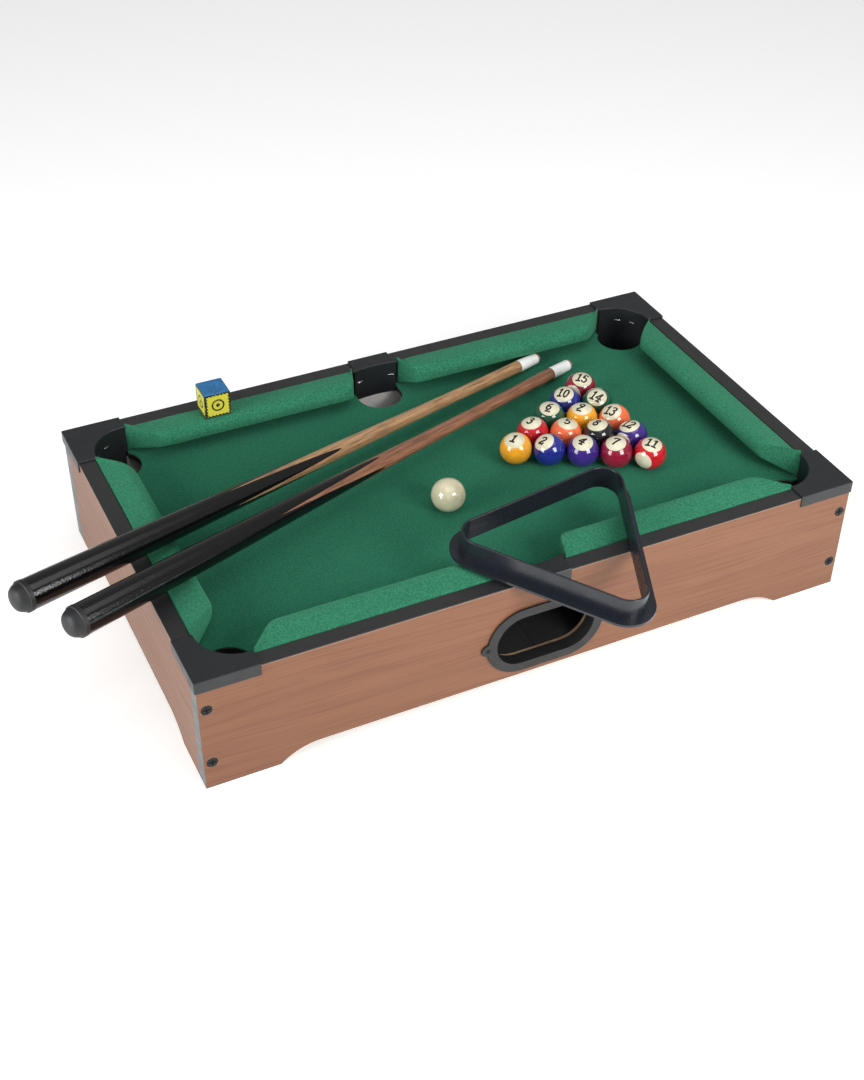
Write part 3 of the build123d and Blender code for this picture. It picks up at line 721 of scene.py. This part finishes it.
def ink(strokes, x, y):
    """How far the points (x, y) lie inside the inked strokes, in millimetres."""
    nearest = np.full(x.shape, 1e9)
    for stroke in strokes:
        for (ax, ay), (bx, by) in zip(stroke, stroke[1:]):
            length = (bx - ax) ** 2 + (by - ay) ** 2
            run = (x - ax) * (bx - ax) + (y - ay) * (by - ay)
            share = np.clip(run / length, 0.0, 1.0)
            gap = np.hypot(x - ax - share * (bx - ax), y - ay - share * (by - ay))
            nearest = np.minimum(nearest, gap)
    return STROKE_HALF - nearest


def inked_cells(level, columns, rows):
    """Polygons that cover level > 0, cell by cell; each corner is a key and a place."""
    for i in range(len(columns) - 1):
        for j in range(len(rows) - 1):
            loop = [(i, j), (i + 1, j), (i + 1, j + 1), (i, j + 1)]
            if all(level[node] <= 0 for node in loop):
                continue
            polygon = []
            for node, following in zip(loop, loop[1:] + loop[:1]):
                start = np.array((columns[node[0]], rows[node[1]]))
                if level[node] > 0:
                    polygon.append((node, start))
                if (level[node] > 0) != (level[following] > 0):
                    end = np.array((columns[following[0]], rows[following[1]]))
                    share = level[node] / (level[node] - level[following])
                    key = tuple(sorted((node, following)))
                    polygon.append((key, start + (end - start) * share))
            yield polygon


def numeral_mesh(name, text, centre, radius, facing, spin):
    """A thin closed inlay in the shape of the number, wrapped on the ball."""
    level_side = Vector((0, 0, 1)).cross(facing).normalized()
    across = Matrix.Rotation(radians(spin), 3, facing) @ level_side
    upward = facing.cross(across)
    columns = np.arange(-7.8, 7.81, GRID)
    rows = np.arange(-6.6, 6.61, GRID)
    x, y = np.meshgrid(columns, rows, indexing="ij")
    level = ink(numeral_strokes(text), x, y)
    bm = bmesh.new()
    layers = [{}, {}]

    def corner(layer, key, spot):
        if key not in layers[layer]:
            ball = radius / MM
            turn = np.hypot(*spot) / ball
            flat = (across * spot[0] + upward * spot[1]).normalized()
            out = facing * cos(turn) + flat * sin(turn)
            layers[layer][key] = bm.verts.new(centre + out * (ball + INK_LEVELS[layer]) * MM)
        return layers[layer][key]

    for polygon in inked_cells(level, columns, rows):
        bm.faces.new([corner(0, key, spot) for key, spot in polygon])
        bm.faces.new([corner(1, key, spot) for key, spot in reversed(polygon)])
    partner = {layers[0][key]: layers[1][key] for key in layers[0]}
    for edge in [e for e in bm.edges if e.is_boundary and e.verts[0] in partner]:
        a, b = edge.verts
        bm.faces.new((a, b, partner[b], partner[a]))
    bmesh.ops.recalc_face_normals(bm, faces=bm.faces)
    return finished(bm, name, 50.0)


# Each ball as it lies: the number disc's lean and turn, the numeral's spin on it, then the lean
# and turn of the axis through the end caps, which only the striped balls use
ball_faces = {
    1: (18, -143, 0, 90, 0),
    2: (30, -176, 16, 90, 0),
    3: (10, -174, 30, 90, 0),
    4: (17, -131, -21, 90, 0),
    5: (6, -47, -79, 90, 0),
    6: (13, -121, -14, 90, 0),
    7: (14, -146, 2, 90, 0),
    8: (10, 168, 40, 90, 0),
    9: (7, -147, 2, 132, -115),
    10: (20, -143, 5, 132, -115),
    11: (13, -103, -35, 95, -151),
    12: (15, 157, 41, 90, -162),
    13: (25, -162, 12, 132, -115),
    14: (29, -130, -19, 132, -115),
    15: (17, -107, -27, 91, -154),
}
numeral_ink = moulded("numeral_ink", srgb(26, 25, 24), srgb(32, 31, 30), 0.18, 0.005)
for number, (lean, turn, spin, cap_lean, cap_turn) in ball_faces.items():
    node = f"ball_{number:02d}"
    low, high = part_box(node)
    centre = (low + high) / 2
    radius = (high.x - low.x) / 2
    colour = ball_colours[number if number <= 8 else number - 8]
    stripe = direction(cap_lean, cap_turn) if number > 8 else None
    facing = direction(lean, turn)
    material = resin(f"{node}_resin", centre / MM, colour, facing, stripe)
    link(f"{node}_sphere", sphere_mesh(node, centre, radius), f"{node}_body", node, [material], [node])
    numeral = numeral_mesh(f"{node}_numeral", str(number), centre, radius, facing, spin)
    link(f"{node}_numeral", numeral, f"{node}_body", node, [numeral_ink])

low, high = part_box("cue_ball")
material = resin("cue_ball_resin", (low + high) / 2 / MM, srgb(208, 201, 170))
sphere = sphere_mesh("cue_ball", (low + high) / 2, (high.x - low.x) / 2)
link("cue_ball_sphere", sphere, "cue_ball_body", "cue_ball", [material], ["cue_ball"])

# ---- Cues ---------------------------------------------------------------------------------

# In millimetres from the tip: the ferrule's end, the stick's end and the splice's points. The
# four points narrow from full width to nothing; POINT_RISE is 1 - cos(45 degrees).
FERRULE_END = 26.0
CUE_LENGTH = 509.5
SPLICE_START = 232.0
SPLICE_LENGTH = 106.0
POINT_RISE = 0.293
COLLAR_RADIUS = 11.4
COLLAR_LENGTH = 3.6
taper = np.polyfit((FERRULE_END, 249.7, 425.4, CUE_LENGTH), (5.2, 6.7, 10.2, 11.2), 3)

# Profiles of the ferrule, from the tip, and of the bumper past its collar's step
ferrule_profile = [(4.0, 4.4), (4.3, 4.7), (FERRULE_END - 0.3, 5.2), (FERRULE_END, 5.1)]
nose_profile = [(2.2, 9.9), (4.2, 8.9), (5.6, 7.7), (6.5, 6.1), (7.0, 4.1), (7.2, 1.2)]


def cue_wood(name, tip, axis, roll, light, dark):
    """Lacquered shaft wood with four black points running up from a black butt."""
    wood = Shader(name, roughness=0.2)
    side = axis.cross(Vector((0, 0, 1))).normalized()
    lift = side.cross(axis)
    p_axis = side * cos(roll) + lift * sin(roll)
    q_axis = lift * cos(roll) - side * sin(roll)
    local = wood.vector("SUBTRACT", wood.place, tip / MM)
    t = wood.vector("DOT_PRODUCT", local, axis)
    p = wood.vector("DOT_PRODUCT", local, p_axis)
    q = wood.vector("DOT_PRODUCT", local, q_axis)
    grain = wood.join(wood.math("MULTIPLY", t, 0.05), p, q)
    flecks = wood.noise(grain, 0.9, 4.0, 0.65)
    broad = wood.noise(wood.join(wood.math("MULTIPLY", t, 0.012), p, q), 0.16, 3.0)
    shaft = wood.mix(wood.span(broad, 0.3, 0.7), dark, light)
    shaft = wood.mix(wood.span(flecks, 0.50, 0.62, 0.0, 0.6), shaft, toned(dark, 0.42))
    shaft = wood.mix(wood.span(flecks, 0.44, 0.36, 0.0, 0.5), shaft, toned(light, 1.5))
    squares = wood.math("ADD", wood.math("MULTIPLY", p, p), wood.math("MULTIPLY", q, q))
    farther = wood.math("MAXIMUM", wood.math("ABSOLUTE", p), wood.math("ABSOLUTE", q))
    facing = wood.math("DIVIDE", farther, wood.math("SQRT", squares))
    level = wood.math("MULTIPLY_ADD", t, POINT_RISE / SPLICE_LENGTH, facing)
    onset = 1.0 + POINT_RISE * SPLICE_START / SPLICE_LENGTH
    black = wood.span(level, onset - 0.004, onset + 0.004)
    wood.paint(wood.mix(black, shaft, srgb(9, 9, 11)))
    wood.polish(wood.span(black, 0.0, 1.0, 0.30, 0.08))
    peel = wood.noise(wood.place, 0.8, 3.0, 0.6)
    wood.relief(wood.math("MULTIPLY", peel, 0.10))
    return wood.material


ferrule_white = moulded("ferrule_white", srgb(226, 226, 224), srgb(214, 213, 210), 0.25, 0.01)
leather = plain_board("tip_leather", srgb(172, 120, 104), srgb(140, 92, 80), 1.5, 0.8)
bumper_rubber = moulded("bumper_rubber", srgb(15, 16, 18), srgb(22, 23, 25), 0.55, 0.04, 2.0)

# Each cue's roll about its axis, then the light and dark tones of its shaft
cue_looks = {
    "cue_a": (47.0, srgb(170, 134, 98), srgb(140, 104, 70)),
    "cue_b": (4.0, srgb(146, 101, 76), srgb(116, 77, 56)),
}
for cue, (roll, light, dark) in cue_looks.items():
    axis = Vector(record_joints[f"{cue}_stroke"]["axis"]).normalized()
    low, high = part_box(f"{cue}_bumper")
    rim = [COLLAR_RADIUS * MM * sqrt(1 - c * c) for c in axis]
    butt = Vector((high.x - rim[0], high.y - rim[1], low.z + rim[2]))
    tip = butt - axis * CUE_LENGTH * MM
    stick = [(t, float(np.polyval(taper, t))) for t in np.linspace(FERRULE_END, CUE_LENGTH, 120)]
    dome = [(4.0 - 4.0 * sin(a), 0.4 + 4.2 * cos(a)) for a in np.linspace(0, pi / 2, 9)][::-1]
    step = CUE_LENGTH + COLLAR_LENGTH
    bumper = [(CUE_LENGTH, 11.2), (CUE_LENGTH + 0.2, COLLAR_RADIUS), (step - 0.3, COLLAR_RADIUS)]
    bumper += [(step, 11.1), (step + 0.1, 10.6)]
    bumper += [(step + past, wide) for past, wide in nose_profile]
    wood = cue_wood(f"{cue}_lacquer", tip, axis, radians(roll), light, dark)
    turnings = (
        ("shaft", stick, f"{cue}_wood", wood, "stick"),
        ("collar", ferrule_profile, "ferrule", ferrule_white, "ferrule"),
        ("pad", dome, "tip_leather", leather, "tip"),
        ("cap", bumper, "bumper_rubber", bumper_rubber, "bumper"),
    )
    for name, profile, slot, material, node in turnings:
        turned = lathe(f"{cue}_{name}", tip, axis, profile)
        link(f"{cue}_{name}", turned, cue, slot, [material], [f"{cue}_{node}"])

# ---- Rack and chalk -----------------------------------------------------------------------

rack_plastic = moulded("rack_plastic", srgb(26, 29, 36), srgb(31, 34, 42), 0.28, 0.002, 1.2)
softened("ball_rack", "ball_rack_moulding", "rack", "rack_plastic", [rack_plastic], 0.25)

chalk_blue = plain_board("chalk_blue", srgb(46, 114, 164), srgb(35, 92, 142), 1.2, 0.95)
softened("chalk_cube", "chalk_block", "chalk", "chalk", [chalk_blue], 0.3)


def label_paper(name, centre, half, yellow, black):
    """Yellow paper with a generic print on each side: a wavy black border, a ring and a dot."""
    paper = Shader(name, roughness=0.55)
    x, y, z = paper.parts(paper.vector("SUBTRACT", paper.place, centre))[:3]
    normal = paper.add("NewGeometry", {}).outputs["Normal"]
    faces_x = paper.math("GREATER_THAN", paper.math("ABSOLUTE", paper.parts(normal)["X"]), 0.6)
    across = paper.add("Mix", {0: faces_x, 2: x, 3: y}).outputs[0]
    wave = paper.math("SINE", paper.math("MULTIPLY", paper.math("ADD", across, z), 2.2))
    edge = paper.math("MAXIMUM", paper.math("ABSOLUTE", across), paper.math("ABSOLUTE", z))
    border = paper.span(paper.math("MULTIPLY_ADD", wave, 0.5, edge), half - 1.9, half - 1.7)
    squares = paper.math("ADD", paper.math("MULTIPLY", across, across), paper.math("MULTIPLY", z, z))
    reach = paper.math("SQRT", squares)
    ring = paper.span(paper.math("ABSOLUTE", paper.math("SUBTRACT", reach, 4.6)), 0.8, 0.6)
    dot = paper.span(reach, 1.7, 1.5)
    print_share = paper.math("MAXIMUM", border, paper.math("MAXIMUM", ring, dot))
    rubbed = paper.noise(paper.place, 0.8, 3.0, 0.6)
    print_share = paper.math("MULTIPLY", print_share, paper.span(rubbed, 0.30, 0.42, 0.3, 1.0))
    paper.paint(paper.mix(print_share, yellow, black))
    paper.relief(paper.math("MULTIPLY", rubbed, 0.04))
    return paper.material


low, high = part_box("chalk_wrapper")
label_half = (high.x - low.x) / 2 / MM
label_middle = (low + high) / 2 / MM
chalk_yellow = label_paper("chalk_paper", label_middle, label_half, srgb(208, 200, 62), srgb(28, 28, 26))
softened("chalk_wrapper", "chalk_label", "chalk", "chalk_paper", [chalk_yellow], 0.1)
